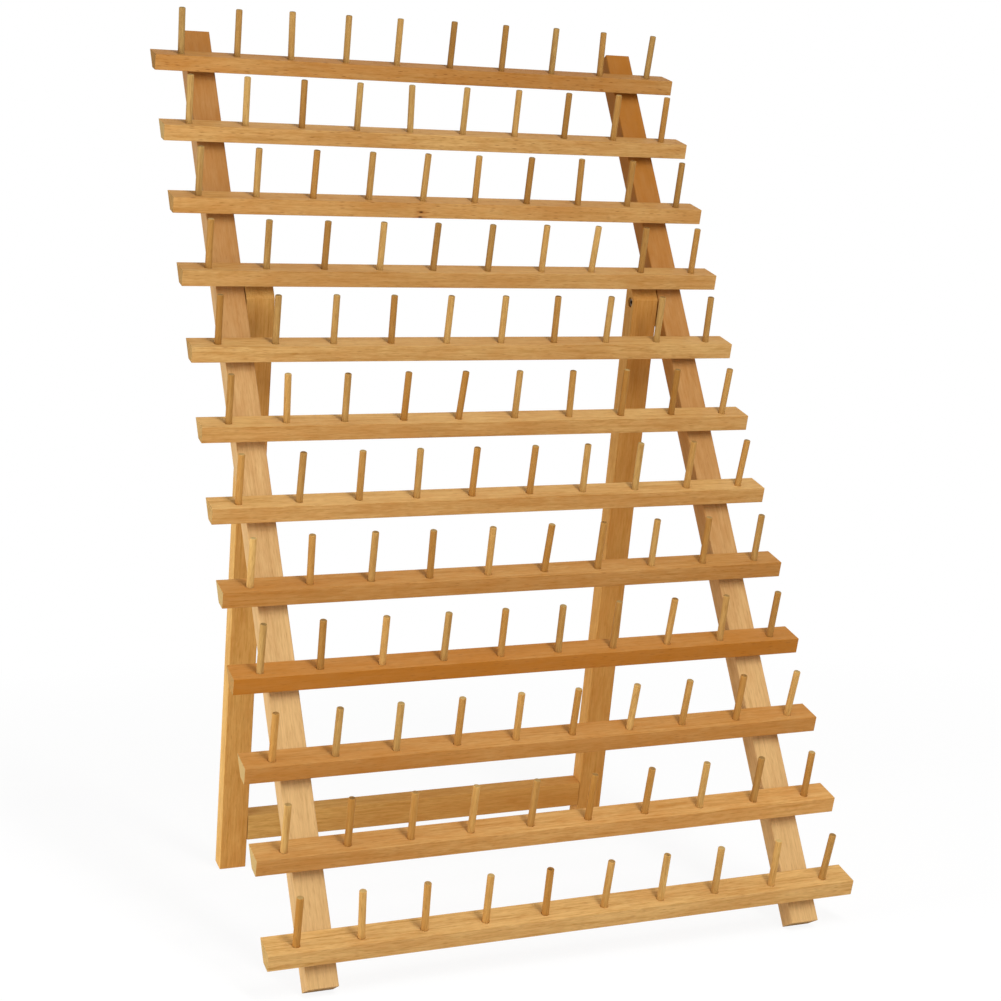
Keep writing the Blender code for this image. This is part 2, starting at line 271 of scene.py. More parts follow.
    pores = look["poreRoughness"]
    rough = addNode(tree, "ShaderNodeMath",
                    {"operation": "MULTIPLY_ADD", 1: pores, 2: wood["roughness"] - pores / 2},
                    {0: noise["pore"]})
    rough = addNode(tree, "ShaderNodeMath", {"operation": "MULTIPLY_ADD", 1: look["endRoughness"]},
                    {0: endMask, 2: rough})
    sawnFibre = addNode(tree, "ShaderNodeMath", {"operation": "MULTIPLY"}, {0: fibre, 1: endMask})
    bumps = look["bumps"]
    height = addNode(tree, "ShaderNodeMath", {"operation": "MULTIPLY", 1: bumps["lateWood"]}, {0: lateWood})
    for relief, depth in ((fleckMask, bumps["fleck"]), (noise["pore"], bumps["pore"]),
                          (sawnFibre, bumps["sawnEnd"])):
        height = addNode(tree, "ShaderNodeMath", {"operation": "MULTIPLY_ADD", 1: depth},
                         {0: relief, 2: height})
    bump = addNode(tree, "ShaderNodeBump",
                   {"Strength": look["bumpStrength"], "Distance": look["bumpDepth"] * mm},
                   {"Height": height})
    shader = addNode(tree, "ShaderNodeBsdfPrincipled",
                     {"IOR": 1.5, "Specular IOR Level": look["sheen"]},
                     {"Base Color": colour, "Roughness": rough, "Normal": bump})
    addNode(tree, "ShaderNodeOutputMaterial", {}, {0: shader})
    return material


# Four lots of the same wood. Warm is the redder colour that a strip may turn to.
railBeech = makeBeech("beechPlanedRail", {           # tan, with the plainest flecks
    "light": "#d2a86a", "dark": "#ab7c3d", "warm": "#bc7524", "fleck": "#7a4519",
    "sawnEnd": "#8c7040", "roughness": 0.56})
legBeech = makeBeech("beechPlanedLeg", {             # palest and pinkest, calm
    "light": "#d8b078", "dark": "#bd955e", "warm": "#aa6c28", "fleck": "#8a5526",
    "sawnEnd": "#a06c34", "roughness": 0.54})
standBeech = makeBeech("beechPlanedStand", {         # yellower
    "light": "#d0a560", "dark": "#ab7e3b", "warm": "#aa6c28", "fleck": "#8a5526",
    "sawnEnd": "#a06c34", "roughness": 0.56})
pegBeech = makeBeech("beechTurnedDowel", {           # straight grained rod, dark sawn tips
    "light": "#d3aa66", "dark": "#aa7d42", "warm": "#b0762c", "fleck": "#8a5a2a",
    "sawnEnd": "#43260f", "roughness": 0.54})


# Steel fasteners: soft gloss, cloudy tone and a fine scatter from the plating bath.
steelLook = {
    "speckle": 0.5,              # mm
    "cloudsEachMm": 0.35,
    "pitDepth": 0.02 * mm,
    "pitStrength": 0.3,
    "glossFromTo": (-0.08, 0.1),   # how far the roughness wanders from its middle
    "zinc": {"bright": "#b9b9b4", "dull": "#8f8f8a", "roughness": 0.34},     # pale grey
    "browned": {"bright": "#8d7f6c", "dull": "#5f5346", "roughness": 0.4},   # dark, brownish
}


def makeSteel(name, finish):
    material, tree = newMaterial(name)
    place = addNode(tree, "ShaderNodeTexCoord")
    inMm = addNode(tree, "ShaderNodeVectorMath", {"operation": "SCALE", "Scale": 1 / mm},
                   {0: place.outputs["Object"]})
    speckle = addNode(tree, "ShaderNodeTexNoise",
                      {"Scale": 1 / steelLook["speckle"], "Detail": 4.0}, {"Vector": inMm})
    cloud = addNode(tree, "ShaderNodeTexNoise", {"Scale": steelLook["cloudsEachMm"], "Detail": 2.0},
                    {"Vector": inMm})
    colour = addNode(tree, "ShaderNodeMix",
                     {"data_type": "RGBA", 6: hexColour(finish["bright"]), 7: hexColour(finish["dull"])},
                     {0: cloud})
    low, high = (finish["roughness"] + change for change in steelLook["glossFromTo"])
    rough = addNode(tree, "ShaderNodeMapRange", {1: 0.3, 2: 0.7, 3: low, 4: high}, {0: speckle})
    bump = addNode(tree, "ShaderNodeBump",
                   {"Strength": steelLook["pitStrength"], "Distance": steelLook["pitDepth"]},
                   {"Height": speckle})
    shader = addNode(tree, "ShaderNodeBsdfPrincipled", {"Metallic": 1.0},
                     {"Base Color": colour.outputs[2], "Roughness": rough, "Normal": bump})
    addNode(tree, "ShaderNodeOutputMaterial", {}, {0: shader})
    return material


zincSteel = makeSteel("steelZincPlated", steelLook["zinc"])
brownedSteel = makeSteel("steelBrowned", steelLook["browned"])
print("materials made")


# How the rack stands. The pivot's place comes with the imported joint.
rackPlace = {
    "leanBack": 25.0,            # degrees, front legs from upright
    "standJoint": "stand_fold",
}

# Every strip is sawn, planed and lightly sanded on its edges.
legShape = {
    "width": 28.0 * mm,
    "depth": 20.0 * mm,
    "length": 947.5 * mm,
    "edgeRadius": 1.0 * mm,
    "endRadius": 0.35 * mm,
}

# Frames of the two bodies, each with Z up along its legs and Y to the back.
pivot = next(joint for joint in frame["joints"] if joint["name"] == rackPlace["standJoint"])
leanBack = math.radians(rackPlace["leanBack"])
standTilt = math.radians(pivot["range_deg"][1]) - leanBack
legLow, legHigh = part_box("front_leg_left")
footBack = legLow.y + legShape["depth"] * math.cos(leanBack)
frontFrame = Matrix.Translation((0, footBack, 0)) @ Matrix.Rotation(-leanBack, 4, "X")
standFrame = Matrix.Translation(pivot["pos_m"]) @ Matrix.Rotation(standTilt, 4, "X")
boardUp = Matrix(((0, 1, 0, 0), (0, 0, 1, 0), (1, 0, 0, 0), (0, 0, 0, 1)))   # turns a strip upright
draw = random.Random(120)        # the seed; another gives other grain, pegs and screw turns


def makePrism(section, start, end):
    bm = bmesh.new()
    face = bm.faces.new([bm.verts.new((start, y, z)) for y, z in section])
    swept = bmesh.ops.extrude_face_region(bm, geom=[face])
    moved = [item for item in swept["geom"] if isinstance(item, bmesh.types.BMVert)]
    bmesh.ops.translate(bm, vec=(end - start, 0, 0), verts=moved)
    bmesh.ops.recalc_face_normals(bm, faces=bm.faces)
    return bm


def sawOff(bm, point, normal):
    everything = list(bm.verts) + list(bm.edges) + list(bm.faces)
    bmesh.ops.bisect_plane(bm, geom=everything, plane_co=point, plane_no=normal, clear_outer=True)
    bmesh.ops.holes_fill(bm, edges=[edge for edge in bm.edges if edge.is_boundary])
    bmesh.ops.recalc_face_normals(bm, faces=bm.faces)


onSawnEnd = 0.6                  # a face that looks this much along the strip is on its sawn end
alongStrip = 0.9                 # and an edge that runs this much along it is a long one


def easeBoard(bm, shape):
    layer = bm.faces.layers.float.new("easedEdge")
    rounds = ((True, shape["edgeRadius"], 3), (False, shape["endRadius"], 2))
    for alongGrain, radius, segments in rounds:
        edges = []
        for edge in bm.edges:
            run = (edge.verts[0].co - edge.verts[1].co).normalized()
            onEnd = any(abs(face.normal.x) > onSawnEnd for face in edge.link_faces)
            if (abs(run.x) > alongStrip and not onEnd) if alongGrain else onEnd:
                edges.append(edge)
        eased = bmesh.ops.bevel(bm, geom=edges, offset=radius, segments=segments, profile=0.5,
                                affect="EDGES", clamp_overlap=True)
        for face in eased["faces"]:
            face[layer] = 1.0


def meshFrom(bm, name):
    mesh = bpy.data.meshes.new(name)
    bm.to_mesh(mesh)
    bm.free()
    return mesh


def cutAway(mesh, cutters):
    board = bpy.data.objects.new("boardBeingCut", mesh)
    tool = bpy.data.objects.new("cutter", cutters)
    for item in (board, tool):
        bpy.context.scene.collection.objects.link(item)
    cut = board.modifiers.new("cut", "BOOLEAN")
    cut.operation = "DIFFERENCE"
    cut.object = tool
    made = bpy.data.meshes.new_from_object(board.evaluated_get(bpy.context.evaluated_depsgraph_get()))
    for item in (board, tool):
        bpy.data.objects.remove(item)
    return made


def addSpot(mesh, name, value):
    if isinstance(value, float):
        layer = mesh.attributes.new(name, "FLOAT", "POINT")
        layer.data.foreach_set("value", [value] * len(mesh.vertices))
    else:
        layer = mesh.attributes.new(name, "FLOAT_VECTOR", "POINT")
        layer.data.foreach_set("vector", list(value) * len(mesh.vertices))


def addRun(mesh, name, start, end):
    # a value that changes evenly along the strip
    along = [vertex.co.x for vertex in mesh.vertices]
    low, high = min(along), max(along)
    layer = mesh.attributes.new(name, "FLOAT", "POINT")
    layer.data.foreach_set("value", [start + (end - start) * (x - low) / (high - low) for x in along])


farAway = (9e3, 9e3, 9e3)        # mm, where no strip has its knots
grainReach = 400.0               # mm, how far apart the pieces are cut from the drawn wood
smoothAngle = math.radians(40)   # edges sharper than this stay crisp
plainBoard = {
    "tone": (1.0, 1.0),          # brightness at the two ends of the strip
    "warmth": (0.15, 0.15),      # share of the warm colour at its two ends
    "faceTone": 1.0,             # brightness of its own face, times that of the strip
    "faceWarmth": 0.0,           # added to the strip's there
    "flecks": 0.5,
    "endDepth": 0.8,             # 0 pale and furry, 1 dark
    "knots": (farAway, farAway),
}


def placePiece(name, mesh, place, material, body, stands=(), board=None):
    mesh.name = name
    mesh.materials.clear()
    mesh.materials.append(material)
    mesh.shade_smooth()
    mesh.set_sharp_from_angle(angle=smoothAngle)
    if board is not None:
        board = {**plainBoard, **board}
        addSpot(mesh, "grainShift", tuple(draw.uniform(-grainReach, grainReach) for axis in range(3)))
        addRun(mesh, "boardToneAndLight", *board["tone"])
        addRun(mesh, "boardWarmthAndSheen", *board["warmth"])
        for spot, key in (("fleckDepth", "flecks"), ("endDepth", "endDepth"),
                          ("faceTone", "faceTone"), ("faceWarmth", "faceWarmth")):
            addSpot(mesh, spot, board[key])
        addSpot(mesh, "knotSpot", board["knots"][0])
        addSpot(mesh, "knotBeside", board["knots"][1])
    piece = bpy.data.objects.new(name, mesh)
    bpy.context.scene.collection.objects.link(piece)
    piece.matrix_world = place
    flat = piece.modifiers.new("flatFaces", "WEIGHTED_NORMAL")
    flat.keep_sharp = True
    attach(piece, body)
    if stands:
        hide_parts(*stands)
    return piece


def makeTurned(profile, sides):
    # profile: (along, radius) from one end to the other, both ends on the axis
    bm = bmesh.new()
    points = [bm.verts.new((along, radius, 0)) for along, radius in profile]
    edges = [bm.edges.new(pair) for pair in zip(points, points[1:])]
    bmesh.ops.spin(bm, geom=points + edges, cent=(0, 0, 0), axis=(1, 0, 0), angle=2 * math.pi,
                   steps=sides, use_merge=True)
    bmesh.ops.remove_doubles(bm, verts=bm.verts, dist=1e-6)
    bmesh.ops.recalc_face_normals(bm, faces=bm.faces)
    return bm


def addTurned(bm, place, profile, sides):
    turned = meshFrom(makeTurned(profile, sides), "turned")
    turned.transform(place)
    bm.from_mesh(turned)
    bpy.data.meshes.remove(turned)


# The peg rails: a bevelled strip with ten drilled sockets, then its pegs.
railShape = {
    "width": 28.0 * mm,
    "thickness": 15.4 * mm,
    "backBevel": 44.0,           # degrees, the saw cut that lies on the legs
    "edgeRadius": 0.55 * mm,
    "endRadius": 0.35 * mm,
    "seatGap": 0.3 * mm,
    "rowPitch": 79.5 * mm,
    "bottomRow": 48.8 * mm,      # along the leg, from its foot to the rail's back edge
    "rows": 12,
    "highRows": (4, 5),          # counted from the top, fastened a little high
    "highBy": 1.4 * mm,
}
pegShape = {
    "diameter": 6.5 * mm,
    "standing": 47.6 * mm,
    "socket": 9.0 * mm,
    "pitch": 57.15 * mm,
    "setback": 17.5 * mm,        # from the rail's back edge to the pegs' middle
    "count": 10,                 # in each rail
    "tipChamfer": 0.75 * mm,
    "tipRoundShares": (0.35, 0.42),   # of the chamfer, along the peg and across, where its corner is broken
    "sides": 28,
    "holeSlack": 0.16 * mm,      # on the diameter
    "holeRim": 0.5 * mm,         # worn edge of the hole, a thin dark ring at the foot of each peg
    "mostLean": 0.7,             # degrees that a glued peg leans in any direction
    "mostShift": 0.6,            # mm that it stands off its place
    "mostProud": 0.35,           # mm that it stands too high or too low, on top of what its row does:
    "rowProud": (-0.3, 0.0, 0.0, 0.0, 0.0, 0.0, 1.2, 0.5, 0.0, -0.8, -0.8, 0.0),
    "lowPegs": {(1, 1): -2.5, (1, 2): -0.9, (1, 9): -1.1, (1, 10): -2.0},   # mm, by rail and place
}
pegLook = {
    "topRowPaintedShade": 0.8,              # painted shade: the upper rows' pegs are darker, and each row below gets this much lighter, painted light that falls stronger lower down
    "rowPaintedLight": 0.03,             # and each row below gets this much lighter
    "tone": (0.8, 1.02),         # these three are drawn for each peg
    "warmth": (0.0, 0.6),
    "endDepth": (0.1, 1.0),
}

railLength = 2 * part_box("peg_rail_01")[1].x
bevel = math.radians(railShape["backBevel"])
undercut = railShape["thickness"] * math.tan(bevel)
railSection = [(0, 0), (-railShape["width"], 0),
               (-railShape["width"], -railShape["thickness"]), (-undercut, -railShape["thickness"])]
# Top rail first: tone at the left and right end, warmth, tone and added warmth of the front face,
# flecks, end grain.
# The rows get darker towards the top: partly each board's own tone, partly painted shade, as the light falls
# weaker on the upper rows.
railBoards = [
    (0.84, 0.76, 0.44, 1.08, -0.05, 1.0, 1.0),
    (0.94, 0.90, 0.18, 1.03, -0.06, 0.9, 0.3),
    (0.95, 0.91, 0.22, 1.02, 0.02, 0.9, 1.0),
    (0.92, 0.93, 0.20, 0.97, 0.05, 0.5, 1.0),
    (0.98, 0.95, 0.12, 0.99, 0.00, 0.5, 1.0),
    (1.06, 1.02, 0.04, 0.93, 0.14, 0.4, 0.9),
    (1.08, 1.05, 0.04, 0.94, 0.16, 0.4, 0.95),
    (0.98, 0.93, 0.34, 0.96, 0.04, 0.5, 0.05),
    (1.01, 0.97, 0.55, 0.92, 0.24, 0.5, 0.8),
    (1.01, 1.04, 0.36, 0.97, 0.10, 0.4, 0.1),
    (1.01, 1.18, 0.22, 1.02, 0.04, 0.4, 0.1),
    (1.09, 1.12, 0.02, 1.03, 0.04, 0.4, 0.8),
]
knotRow = 3                      # from the top
knotPlaces = ((-32.5, -28.0, -9.1), (-33.0, -28.0, -14.2))   # mm, on the rail's front face
pegX = [(column - (pegShape["count"] - 1) / 2) * pegShape["pitch"]
        for column in range(pegShape["count"])]

# The pegs that were glued in plainly crooked, by rail from the top and place from the left:
# degrees that they lean to the right, millimetres that they stand off their place to the right.
crookedPegs = {
    (1, 1): (-1.5, 1.0), (1, 2): (-1.0, 0.5), (1, 3): (-2.0, -1.0), (1, 4): (-1.0, 0.0),
    (1, 5): (0.0, -2.5), (1, 6): (0.5, -1.0), (1, 9): (-2.0, 0.0), (1, 10): (1.5, -1.0),
    (2, 2): (-1.0, -1.0), (2, 3): (-1.0, -0.5), (2, 5): (-3.0, -0.5),
    (3, 5): (1.5, 0.5), (3, 8): (-1.5, 0.0),
    (4, 5): (1.0, -1.5), (4, 7): (0.5, 1.5), (4, 8): (2.5, 0.0), (4, 10): (0.0, 1.0),
    (5, 2): (-0.5, -1.5), (5, 3): (-0.5, -1.5), (5, 4): (-1.0, -0.5), (5, 7): (-1.5, 0.0),
    (5, 10): (-1.5, 0.0),
    (6, 2): (-2.5, -1.5), (6, 3): (-1.0, -2.0), (6, 5): (3.0, -1.5), (6, 7): (-2.0, 1.0),
    (6, 10): (1.5, 0.5),
    (7, 4): (-1.5, 0.0), (7, 5): (0.0, -1.5), (7, 6): (0.0, 1.0), (7, 10): (3.0, 0.5),
    (8, 2): (-1.5, -1.0), (8, 4): (-1.5, 0.0), (8, 5): (-0.5, 1.0), (8, 6): (2.0, 1.5),
    (9, 2): (-1.0, -2.5), (9, 3): (0.0, -1.5), (9, 6): (-1.0, 0.5), (9, 8): (1.0, 0.5),
    (9, 10): (1.0, -1.0),
    (10, 7): (1.5, 1.0), (10, 8): (1.5, -1.0), (10, 10): (2.5, -1.0),
    (11, 10): (-0.5, -2.0),
    (12, 2): (-3.5, 0.5), (12, 3): (-2.5, 0.5), (12, 4): (-1.0, 0.0), (12, 5): (-1.5, -0.5),
    (12, 7): (-0.5, -1.0), (12, 8): (-1.0, -2.5), (12, 10): (2.5, -2.5),
}


def pegStand(row, column):
    # where a peg stands on its rail, as good as straight or plainly crooked
    nearlyTrue = (draw.uniform(-1, 1) * pegShape["mostLean"], draw.uniform(-1, 1) * pegShape["mostShift"])
    lean, shift = crookedPegs.get((row + 1, column + 1), nearlyTrue)
    forward = draw.uniform(-1, 1) * pegShape["mostLean"]
    place = Matrix.Translation((pegX[column] + shift * mm, -pegShape["setback"], 0))
    return (place @ Matrix.Rotation(math.radians(lean), 4, "Y")
            @ Matrix.Rotation(math.radians(forward), 4, "X"))


def drilledRail(stands):
    bm = makePrism(railSection, -railLength / 2, railLength / 2)
    easeBoard(bm, railShape)
    radius = (pegShape["diameter"] + pegShape["holeSlack"]) / 2
    rim, depth = pegShape["holeRim"], pegShape["socket"]
    drills = bmesh.new()
    drill = [(-depth, 0), (-depth, radius), (-rim, radius), (rim, radius + 2 * rim),
             (depth, radius + 2 * rim), (depth, 0)]
    for stand in stands:
        addTurned(drills, stand @ boardUp, drill, pegShape["sides"])
    return cutAway(meshFrom(bm, "rail"), meshFrom(drills, "drills"))


def turnedPeg(length):
    radius = pegShape["diameter"] / 2
    chamfer = pegShape["tipChamfer"]
    alongShare, acrossShare = pegShape["tipRoundShares"]
    return makeTurned([(0, 0), (0, radius), (length - chamfer, radius),
                       (length - alongShare * chamfer, radius - acrossShare * chamfer),
                       (length, radius - chamfer), (length, 0)], pegShape["sides"])


railHeights = [railShape["bottomRow"] + (railShape["rows"] - 1 - row) * railShape["rowPitch"]
               + (railShape["highBy"] if row + 1 in railShape["highRows"] else 0)
               for row in range(railShape["rows"])]
for row, alongLeg in enumerate(railHeights):
    seat = Matrix.Translation((0, -legShape["depth"] - railShape["seatGap"], alongLeg))
    railPlace = frontFrame @ seat @ Matrix.Rotation(bevel, 4, "X")
    number = f"{row + 1:02d}"
    leftTone, rightTone, warmth, faceTone, faceWarmth, flecks, endDepth = railBoards[row]
    stands = [pegStand(row, column) for column in range(len(pegX))]
    placePiece("rail_board_" + number, drilledRail(stands), railPlace, railBeech, "front_frame",
               ["peg_rail_" + number],
               {"tone": (leftTone, rightTone), "warmth": (warmth, warmth), "faceTone": faceTone,
                "faceWarmth": faceWarmth, "flecks": flecks, "endDepth": endDepth,
                "knots": knotPlaces if row + 1 == knotRow else (farAway, farAway)})
    for column, stand in enumerate(stands):
        proud = draw.uniform(-1, 1) * pegShape["mostProud"] + pegShape["rowProud"][row]
        proud += pegShape["lowPegs"].get((row + 1, column + 1), 0.0)
        length = pegShape["socket"] + pegShape["standing"] + proud * mm
        turned = (stand @ Matrix.Translation((0, 0, -pegShape["socket"])) @ boardUp
                  @ Matrix.Rotation(draw.uniform(0, 2 * math.pi), 4, "X"))
        # each peg's own drawn tone, times the painted light that lightens the rows downwards
        tone = draw.uniform(*pegLook["tone"]) * (pegLook["topRowPaintedShade"] + pegLook["rowPaintedLight"] * row)
        warmth = draw.uniform(*pegLook["warmth"])
        endDepth = draw.uniform(*pegLook["endDepth"])
        placePiece(f"peg_{number}_{column + 1:02d}", meshFrom(turnedPeg(length), "peg"), railPlace @ turned,
                   pegBeech, "front_frame", (),
                   {"tone": (tone, tone), "warmth": (warmth, warmth), "endDepth": endDepth})
print("rails and pegs made")


# Fasteners: countersunk screws from the back of the front legs into each rail.
# The cross rail is glued between the rear legs: the photograph shows no screws there.
screwShape = {
    "headDiameter": 7.4 * mm,
    "headDepth": 2.9 * mm,
    "headRim": 0.25 * mm,
    "shank": 3.4 * mm,
    "length": 28.0 * mm,
    "plainShank": 6.0 * mm,
    "pointLength": 4.0 * mm,
    "pointTaper": 1.0 * mm,
    "pointRadius": 0.5 * mm,
    "threadPitch": 1.6 * mm,
    "threadDepth": 0.45 * mm,
    "sunk": 0.25 * mm,
    "crossWidth": 0.95 * mm,
    "crossReach": 4.4 * mm,
    "crossDepth": 1.9 * mm,
    "sinkSlack": 0.15 * mm,
    "sides": 32,
}
overCut = 1.0 * mm               # how far a cutter starts outside the wood


def addSink(bm, place):
    # a countersink; X points into the wood
    shape = screwShape
    head = shape["headDiameter"] / 2 + shape["sinkSlack"]
    bottom = shape["sunk"] + shape["headDepth"]
    addTurned(bm, place, [(-overCut, 0), (-overCut, head), (shape["sunk"], head),
                          (bottom, shape["shank"] / 2 + shape["sinkSlack"]), (bottom, 0)], shape["sides"])


def makeScrew():
    shape = screwShape
    length = shape["length"]
    head, shank, pitch = shape["headDiameter"] / 2, shape["shank"] / 2, shape["threadPitch"]
    along = shape["headDepth"] + shape["plainShank"]
    profile = [(0, 0), (0, head), (shape["headRim"], head), (shape["headDepth"], shank), (along, shank)]
    while along < length - shape["pointLength"]:
        profile.append((along + pitch / 2, shank - shape["threadDepth"]))
        profile.append((along + pitch, shank))
        along += pitch
    profile += [(length - shape["pointTaper"], shape["pointRadius"]), (length, 0)]
    near, far = shape["crossWidth"] / 2, shape["crossReach"] / 2
    cross = [(-near, -far), (near, -far), (near, -near), (far, -near), (far, near), (near, near),
             (near, far), (-near, far), (-near, near), (-far, near), (-far, -near), (-near, -near)]
    drive = makePrism(cross, -overCut, shape["crossDepth"])
    return cutAway(meshFrom(makeTurned(profile, shape["sides"]), "screw"), meshFrom(drive, "drive"))


railScrew = makeScrew()


def placeScrew(name, place):
    turned = place @ Matrix.Translation((screwShape["sunk"], 0, 0)) @ Matrix.Rotation(
        draw.uniform(0, quarterTurn), 4, "X")
    placePiece(name, railScrew.copy(), turned, zincSteel, "front_frame")


# The front legs, with a countersink behind every rail and the bolt's blind hole.
legMiddle = -(legLow.x + legHigh.x) / 2
halfWidth = legShape["width"] / 2
railSeat = railShape["thickness"] / math.cos(bevel)
# Each front leg runs from its foot to its top: lighter and paler at the foot, darker and warmer at the top.
# This is painted light and painted sheen, for the light and sheen that fall stronger on the lower legs.
legBoards = {
    "left": {"tone": (0.99, 0.87), "warmth": (-0.3, 0.72), "faceTone": 0.98, "faceWarmth": -0.25,
             "flecks": 0.35},
    "right": {"tone": (1.03, 0.87), "warmth": (-0.2, 1.0), "faceTone": 1.02, "faceWarmth": 0.2,
              "flecks": 0.35},
}
boltShape = {
    "shank": 6.0 * mm,
    "headDiameter": 9.0 * mm,
    "headHeight": 4.5 * mm,
    "socketWidth": 4.0 * mm,
    "socketDepth": 2.4 * mm,
    "chamfer": 0.6 * mm,
    "counterboreDiameter": 10.5 * mm,
    "counterboreDepth": 6.5 * mm,
    "blindHole": 20.3 * mm,      # in the front leg
    "slack": 0.15 * mm,
    "sides": 40,
}
screwRows = [height - railSeat / 2 for height in railHeights]


def stripSection(front, back):
    return [(-halfWidth, front), (halfWidth, front), (halfWidth, back), (-halfWidth, back)]


boltHere = frontFrame.inverted() @ Vector(pivot["pos_m"])
for side, outward in (("left", -1), ("right", 1)):
    bm = makePrism(stripSection(-legShape["depth"], 0), 0, legShape["length"])
    easeBoard(bm, legShape)
    drills = bmesh.new()
    hole = boltShape["shank"] / 2 + boltShape["slack"]
    inner = (Matrix.Translation((boltHere.z, -outward * halfWidth, boltHere.y))
             @ Matrix.Rotation(outward * quarterTurn, 4, "Z"))
    addTurned(drills, inner, [(-overCut, 0), (-overCut, hole), (boltShape["blindHole"], hole),
                              (boltShape["blindHole"], 0)], boltShape["sides"])
    screwPlaces = []
    for rowHeight in screwRows:
        # into the leg's back face: local Z is depth, so X of the screw points to -Z
        at = Matrix.Translation((rowHeight, 0, 0)) @ Matrix.Rotation(quarterTurn, 4, "Y")
        addSink(drills, at)
        screwPlaces.append(at)
    mesh = cutAway(meshFrom(bm, "leg"), meshFrom(drills, "drills"))
    place = frontFrame @ Matrix.Translation((outward * legMiddle, 0, 0)) @ boardUp
    placePiece("front_leg_board_" + side, mesh, place, legBeech, "front_frame",
               ["front_leg_" + side], legBoards[side])
    for number, at in enumerate(screwPlaces):
        placeScrew(f"rail_screw_{side}_{number + 1:02d}", place @ at)
bpy.data.meshes.remove(railScrew)
print("front legs made")


# The rear stand: two legs with slanted tops, and the cross rail between their feet.
standShape = {
    "top": 23.0 * mm,            # above the pivot
    "front": 8.5 * mm,           # from the pivot to the leg's front face
    "stopDistance": 8.9 * mm,    # from the pivot to the sawn face that meets the rail
    "crossToFoot": 31.5 * mm,
    "crossHeight": 28.0 * mm,
}
# Tones above 1 are painted light: the stand is drawn lighter where the rack shades it, and its legs lighter
# towards their feet.
standBoards = {
    "left": {"tone": (1.34, 0.98), "warmth": (0.3, 0.3), "faceTone": 1.08, "faceWarmth": -0.25,
             "flecks": 0.35},
    "right": {"tone": (1.32, 1.06), "warmth": (0.55, 0.5), "faceTone": 1.09, "faceWarmth": -0.15,
              "flecks": 0.35},
    "cross": {"tone": (1.14, 1.34), "warmth": (0.1, 0.5), "flecks": 0.35},
}
standLow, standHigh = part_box("rear_leg_right")
standMiddle = (standLow.x + standHigh.x) / 2
standFront = -standShape["front"]
standBack = legShape["depth"] - standShape["front"]
legDrop = (pivot["pos_m"][2] - standShape["front"] * math.sin(standTilt)) / math.cos(standTilt)
crossBottom = standShape["crossToFoot"] - legDrop
crossTop = crossBottom + standShape["crossHeight"]
stopAngle = math.radians(pivot["range_deg"][1])
for side, outward in (("left", -1), ("right", 1)):
    bm = makePrism(stripSection(standFront, standBack), -legDrop, standShape["top"])
    slant = Vector((math.sin(stopAngle), 0, -math.cos(stopAngle)))
    sawOff(bm, slant * standShape["stopDistance"], slant)
    easeBoard(bm, legShape)
    drills = bmesh.new()
    hole = boltShape["shank"] / 2 + boltShape["slack"]
    wide, deep = boltShape["counterboreDiameter"] / 2, boltShape["counterboreDepth"]
    through = legShape["width"] + overCut
    inner = Matrix.Translation((0, -outward * halfWidth, 0)) @ Matrix.Rotation(outward * quarterTurn, 4, "Z")
    addTurned(drills, inner, [(-overCut, 0), (-overCut, wide), (deep, wide), (deep, hole), (through, hole),
                              (through, 0)], boltShape["sides"])
    mesh = cutAway(meshFrom(bm, "rearLeg"), meshFrom(drills, "drills"))
    place = standFrame @ Matrix.Translation((outward * standMiddle, 0, 0)) @ boardUp
    placePiece("rear_leg_board_" + side, mesh, place, standBeech, "rear_stand",
               ["rear_leg_" + side], standBoards[side])

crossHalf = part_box("cross_rail")[1].x
bm = makePrism([(standFront, crossBottom), (standBack, crossBottom), (standBack, crossTop),
                (standFront, crossTop)], -crossHalf, crossHalf)
easeBoard(bm, legShape)
placePiece("cross_rail_board", meshFrom(bm, "crossRail"), standFrame, standBeech, "rear_stand",
           ["cross_rail"], standBoards["cross"])
print("rear stand made")


# The pivot bolts: a round head with a hexagon socket, sunk in the rear leg's inner face.
def makeBolt(length):
    shape = boltShape
    head = shape["headDiameter"] / 2
    profile = [(0, 0), (0, head - shape["chamfer"]), (shape["chamfer"], head), (shape["headHeight"], head),
               (shape["headHeight"], shape["shank"] / 2), (length - shape["chamfer"], shape["shank"] / 2),
               (length, shape["shank"] / 2 - shape["chamfer"]), (length, 0)]
    key = bmesh.new()
    corner = shape["socketWidth"] / math.sqrt(3)
    bmesh.ops.create_cone(key, cap_ends=True, segments=6, radius1=corner, radius2=corner,
                          depth=2 * shape["socketDepth"], matrix=Matrix.Rotation(quarterTurn, 4, "Y"))
    return cutAway(meshFrom(makeTurned(profile, shape["sides"]), "bolt"), meshFrom(key, "key"))


for side, outward in (("left", -1), ("right", 1)):
    low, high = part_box("pivot_bolt_" + side)
    outer = max(abs(low.x), abs(high.x))
    innerEnd = min(abs(low.x), abs(high.x))
    place = Matrix.Translation((outward * innerEnd, pivot["pos_m"][1], pivot["pos_m"][2]))
    if outward < 0:
        place = place @ Matrix.Rotation(math.pi, 4, "Z")
    placePiece("pivot_bolt_steel_" + side, makeBolt(outer - innerEnd), place, brownedSteel, "front_frame",
               ["pivot_bolt_" + side])
print("fasteners made")


# Floor, light and camera.
studioLook = {
    "floorSize": 30.0,
    "floorWhite": "#f4f4f4",
    "floorGlow": 0.9,            # share of the floor that the camera sees as pure white
    "glowFrom": (0.7, 1.6),      # and from here outwards it turns all white
    "ambient": 0.44,
    "keyStrip": {"place": (0.1, -1.55, 1.6), "size": (0.26, 1.2), "watts": 18.5},
    "overStrip": {"place": (0.1, -1.2, 2.5), "size": (0.4, 1.2), "watts": 12.0},
    "leftFill": {"place": (-1.5, -0.35, 0.25), "size": (0.7, 0.7), "watts": 14.0},
    "rightFill": {"place": (1.6, -0.5, 0.4), "size": (0.7, 0.7), "watts": 3.1},
    "aim": (0.0, 0.0, 0.45),
}


